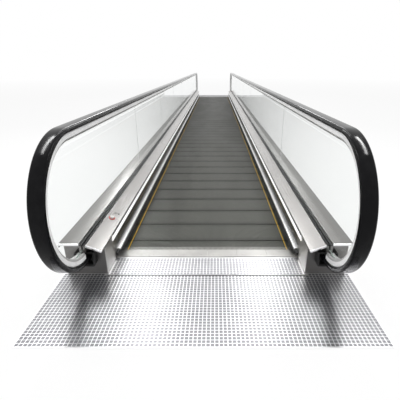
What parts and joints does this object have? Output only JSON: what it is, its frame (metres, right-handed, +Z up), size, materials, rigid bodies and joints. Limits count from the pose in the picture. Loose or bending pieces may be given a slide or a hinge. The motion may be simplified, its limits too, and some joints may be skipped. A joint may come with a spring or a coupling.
{
  "type": "level moving walkway with glass balustrades",
  "caption": "Level moving walkway with grooved pallets, combs, patterned landing plates, glass balustrades and black handrails.",
  "frame": {"origin": "centre of the footprint on the resting plane under the landing frames and tracks", "axes": "+Y along the travel away from the near landing, +X to the right seen from there, +Z up"},
  "size_m": [1.838, 14.444, 1.01],
  "materials": {
    "landing_steel": "satin",
    "comb_plate_steel": "satin",
    "comb_metal": "satin",
    "frame_steel": "matte",
    "skirt_finish": "satin",
    "bright_trim": "satin",
    "black_bristle": "matte",
    "deck_steel": "satin",
    "cladding_steel": "satin",
    "channel_black": "satin",
    "clear_glass": "clear",
    "handrail_rubber": "satin",
    "guide_metal": "satin",
    "inlet_plastic": "matte",
    "pallet_metal": "satin",
    "red_plastic": "gloss",
    "key_metal": "polished"
  },
  "bodies": {
    "root": {"near_landing_plate": "landing_steel", "near_landing_frame": "frame_steel", "near_comb_plate": "comb_plate_steel", "near_combs": "comb_metal", "near_handrail_inlets": "inlet_plastic", "near_left_end_wall": "cladding_steel", "near_right_end_wall": "cladding_steel", "far_landing_plate": "landing_steel", "far_landing_frame": "frame_steel", "far_comb_plate": "comb_plate_steel", "far_combs": "comb_metal", "far_handrail_inlets": "inlet_plastic", "far_left_end_wall": "cladding_steel", "far_right_end_wall": "cladding_steel", "left_pallet_track": "frame_steel", "left_balustrade_brackets": "frame_steel", "left_skirt_panels": "skirt_finish", "left_skirt_trim": "bright_trim", "left_brush_holder": "bright_trim", "left_skirt_brush": "black_bristle", "left_inner_deck": "deck_steel", "left_outer_deck": "deck_steel", "left_side_cladding": "cladding_steel", "left_glass_channel": "channel_black", "left_glass_panels": "clear_glass", "left_handrail": "handrail_rubber", "left_handrail_guide": "guide_metal", "right_pallet_track": "frame_steel", "right_balustrade_brackets": "frame_steel", "right_skirt_panels": "skirt_finish", "right_skirt_trim": "bright_trim", "right_brush_holder": "bright_trim", "right_skirt_brush": "black_bristle", "right_inner_deck": "deck_steel", "right_outer_deck": "deck_steel", "right_side_cladding": "cladding_steel", "right_glass_channel": "channel_black", "right_glass_panels": "clear_glass", "right_handrail": "handrail_rubber", "right_handrail_guide": "guide_metal", "pallets": "pallet_metal", "stop_buttons": "red_plastic", "stop_button_bezels": "deck_steel", "key_switches": "key_metal"}
  },
  "joints": []
}
